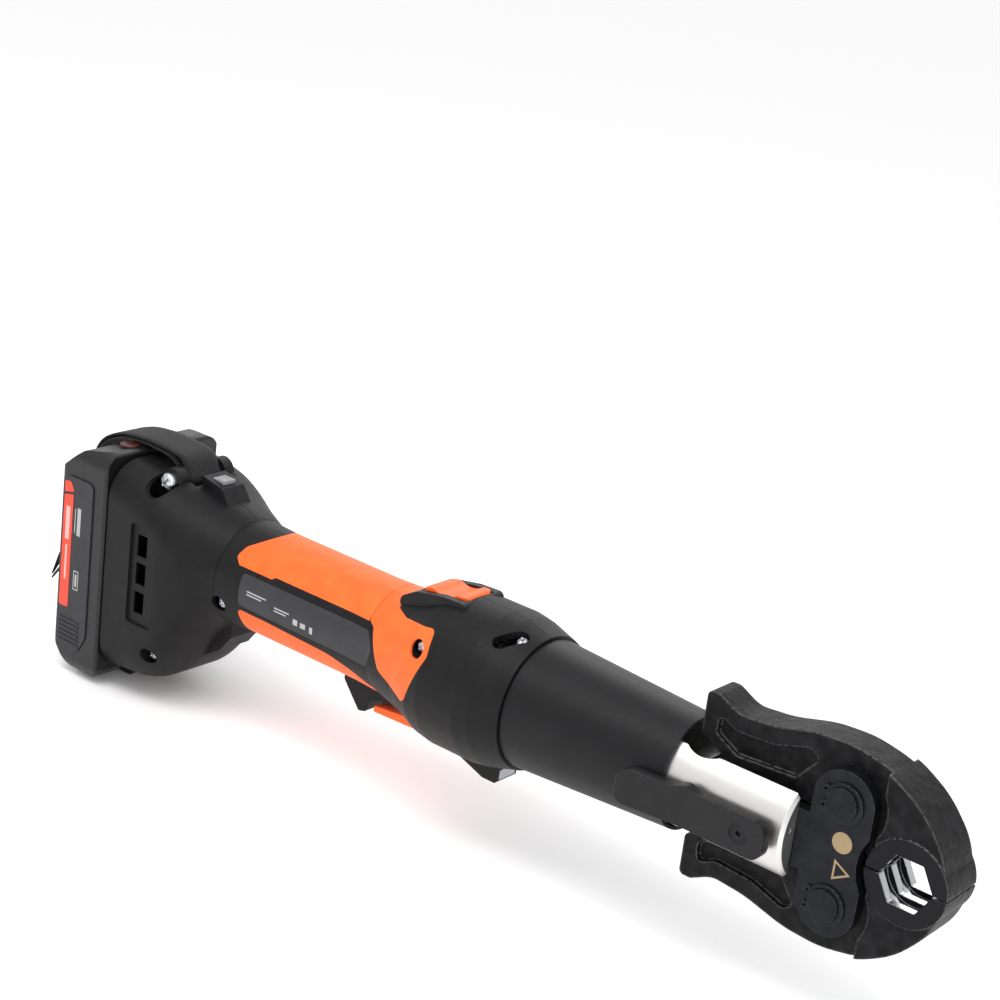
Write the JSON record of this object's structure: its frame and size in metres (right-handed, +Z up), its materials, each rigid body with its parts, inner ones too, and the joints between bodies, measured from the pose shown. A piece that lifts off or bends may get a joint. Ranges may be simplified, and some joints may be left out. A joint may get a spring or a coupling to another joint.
{
  "type": "cordless press tool",
  "caption": "Inline cordless press tool with rotating fork, hinged jaw set, slide-on battery, trigger and wrist strap.",
  "frame": {"origin": "centre of the whole tool's box, at the level of the battery's foot", "axes": "+X along the tool to the jaws, +Y to the tool's left, +Z up"},
  "size_m": [0.5481, 0.0768, 0.1327],
  "materials": {
    "nylon_housing": "matte",
    "nylon_surround": "matte",
    "grip_orange": "matte",
    "button_orange": "satin",
    "label_grey": "satin",
    "lens_clear": "gloss",
    "status_window": "gloss",
    "terminal_plastic": "matte",
    "zinc_screw": "satin",
    "strap_webbing": "matte",
    "sleeve_nylon": "satin",
    "motor_steel": "satin",
    "fan_nylon": "matte",
    "gear_steel": "satin",
    "pump_aluminium": "satin",
    "cylinder_steel": "satin",
    "bladder_rubber": "matte",
    "board_green": "satin",
    "battery_nylon": "matte",
    "battery_panel": "satin",
    "battery_stripe": "satin",
    "cell_sleeve": "gloss",
    "gauge_red": "gloss",
    "fork_steel": "satin",
    "plate_black_oxide": "satin",
    "jaw_forged": "satin",
    "pin_steel": "satin",
    "lever_black": "matte",
    "lever_screw_black": "satin"
  },
  "bodies": {
    "body": {"housing_right": "nylon_housing", "housing_left": "nylon_housing", "rear_housing_right": "nylon_housing", "rear_housing_left": "nylon_housing", "grip_top": "grip_orange", "grip_front": "grip_orange", "grip_bottom": "grip_orange", "label_panel_right": "label_grey", "label_panel_left": "label_grey", "button_surround": "nylon_surround", "trigger_guard": "grip_orange", "work_lamp_body": "nylon_housing", "work_lamp_lens": "lens_clear", "status_light": "status_window", "battery_mount": "nylon_housing", "terminal_block": "terminal_plastic", "housing_screws": "zinc_screw", "strap_bar": "zinc_screw", "wrist_strap": "strap_webbing", "barrel_sleeve": "sleeve_nylon", "motor_can": "motor_steel", "gearbox_case": "gear_steel", "pump_block": "pump_aluminium", "hydraulic_cylinder": "cylinder_steel", "oil_bladder": "bladder_rubber", "control_board": "board_green", "trigger_switch": "fan_nylon", "trigger_pin": "gear_steel"},
    "rotor": {"motor_rotor": "motor_steel", "motor_fan": "fan_nylon"},
    "eccentric": {"eccentric_shaft": "gear_steel"},
    "trigger": {"trigger": "nylon_housing"},
    "release_button": {"release_button": "button_orange"},
    "battery": {"battery_cover": "battery_nylon", "battery_base": "battery_nylon", "battery_cells": "cell_sleeve", "battery_side_right": "battery_panel", "battery_side_left": "battery_panel", "battery_strip_right": "battery_stripe", "battery_strip_left": "battery_stripe", "battery_gauge": "gauge_red"},
    "battery_latch": {"battery_latch": "battery_nylon"},
    "head": {"fork": "fork_steel", "side_plate_right": "plate_black_oxide", "side_plate_left": "plate_black_oxide", "jaw_pins": "plate_black_oxide", "circlips": "plate_black_oxide"},
    "ram": {"piston_rod": "cylinder_steel", "roller_carriage": "cylinder_steel", "roller_pins": "cylinder_steel"},
    "roller_upper": {"roller_upper": "cylinder_steel"},
    "roller_lower": {"roller_lower": "cylinder_steel"},
    "jaw_upper": {"jaw_upper": "jaw_forged"},
    "jaw_lower": {"jaw_lower": "jaw_forged"},
    "pin": {"retaining_pin": "pin_steel"},
    "pin_handle": {"pin_lever": "lever_black", "lever_screw": "lever_screw_black"}
  },
  "joints": [
    {"name": "rotor_spin", "type": "hinge", "parent": "body", "child": "rotor", "pos_m": [-0.09, 0, 0.08], "axis": [1, 0, 0], "continuous": true},
    {"name": "eccentric_spin", "type": "hinge", "parent": "body", "child": "eccentric", "pos_m": [-0.015, 0, 0.08], "axis": [1, 0, 0], "continuous": true},
    {"name": "trigger_pull", "type": "hinge", "parent": "body", "child": "trigger", "pos_m": [-0.012, 0, 0.056], "axis": [0, 1, 0], "range_deg": [0, 8], "stiffness_Nm_per_rad": 0.6, "springref_deg": -8.59},
    {"name": "release_press", "type": "slide", "parent": "body", "child": "release_button", "axis": [0, 0, -1], "range_m": [0, 0.0022], "stiffness_N_per_m": 900, "springref_m": -0.001},
    {"name": "battery_slide", "type": "slide", "parent": "body", "child": "battery", "axis": [0, 0, -1], "range_m": [0, 0.09]},
    {"name": "latch_press", "type": "slide", "parent": "battery", "child": "battery_latch", "axis": [0, 0, 1], "range_m": [0, 0.0015], "stiffness_N_per_m": 900, "springref_m": -0.001},
    {"name": "head_turn", "type": "hinge", "parent": "body", "child": "head", "pos_m": [0.101, 0, 0.08], "axis": [1, 0, 0], "range_deg": [-135, 135]},
    {"name": "ram_slide", "type": "slide", "parent": "head", "child": "ram", "axis": [1, 0, 0], "range_m": [-0.03, 0]},
    {"name": "roller_upper_spin", "type": "hinge", "parent": "ram", "child": "roller_upper", "pos_m": [0.164, 0, 0.08705], "axis": [0, 1, 0], "continuous": true},
    {"name": "roller_lower_spin", "type": "hinge", "parent": "ram", "child": "roller_lower", "pos_m": [0.164, 0, 0.07295], "axis": [0, 1, 0], "continuous": true},
    {"name": "jaw_upper_swing", "type": "hinge", "parent": "head", "child": "jaw_upper", "pos_m": [0.2226, 0, 0.103], "axis": [0, -1, 0], "range_deg": [0, 12.5]},
    {"name": "jaw_lower_swing", "type": "hinge", "parent": "head", "child": "jaw_lower", "pos_m": [0.2226, 0, 0.057], "axis": [0, 1, 0], "range_deg": [0, 12.5]},
    {"name": "pin_slide", "type": "slide", "parent": "head", "child": "pin", "axis": [0, -1, 0], "range_m": [0, 0.042]},
    {"name": "lever_turn", "type": "hinge", "parent": "pin", "child": "pin_handle", "pos_m": [0.1876, 0, 0.08], "axis": [0, 1, 0], "range_deg": [0, 90]}
  ],
  "couplings": [
    {"joint": "eccentric_spin", "follows": "rotor_spin", "ratio": 0.08333},
    {"joint": "jaw_upper_swing", "follows": "ram_slide", "rad_per_m": -6.981},
    {"joint": "jaw_lower_swing", "follows": "ram_slide", "rad_per_m": -6.981}
  ]
}
